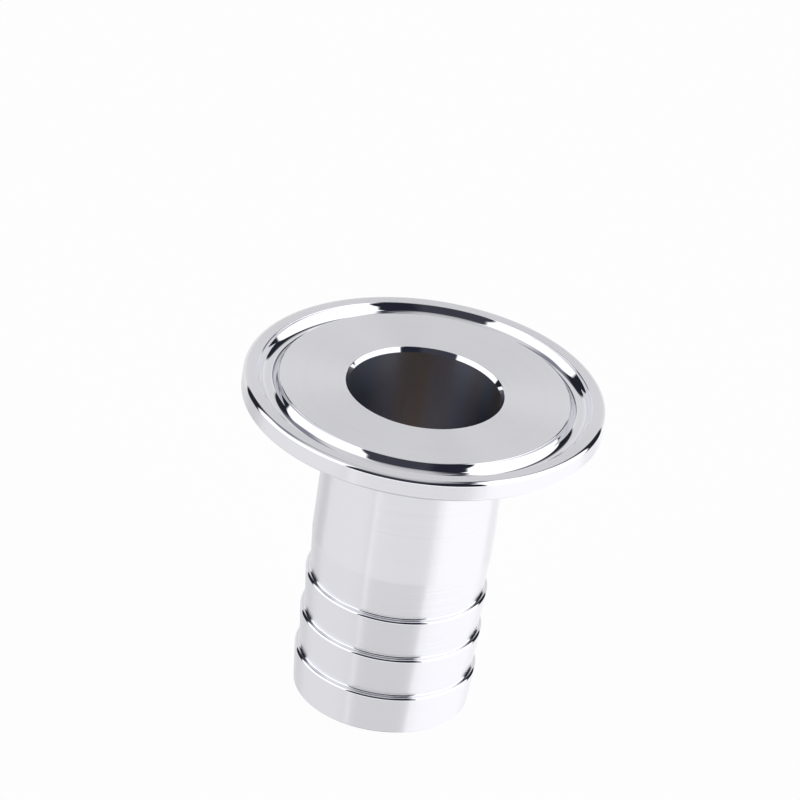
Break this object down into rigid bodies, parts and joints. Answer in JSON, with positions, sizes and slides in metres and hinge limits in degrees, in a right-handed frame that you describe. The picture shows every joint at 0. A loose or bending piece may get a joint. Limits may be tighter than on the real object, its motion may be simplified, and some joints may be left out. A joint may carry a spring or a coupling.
{
  "type": "sanitary clamp hose barb",
  "caption": "Turned stainless sanitary fitting: a clamp ferrule with a ring-shaped gasket groove on a short straight stem that ends in a barbed hose tail, bored straight through.",
  "frame": {"origin": "middle of the free end of the hose tail, the end that the part stands on", "axes": "+Z along the bore, from the free end to the clamp face; X and Y across it, with no marked direction because the part is turned"},
  "size_m": [0.0506, 0.0506, 0.049],
  "materials": {
    "stainless_steel": "fine turned satin on the clamp face, stem and cones; polished at the rim, the groove and the barb crests"
  },
  "bodies": {
    "root": {"hose_barb_fitting": "stainless_steel"}
  },
  "joints": []
}
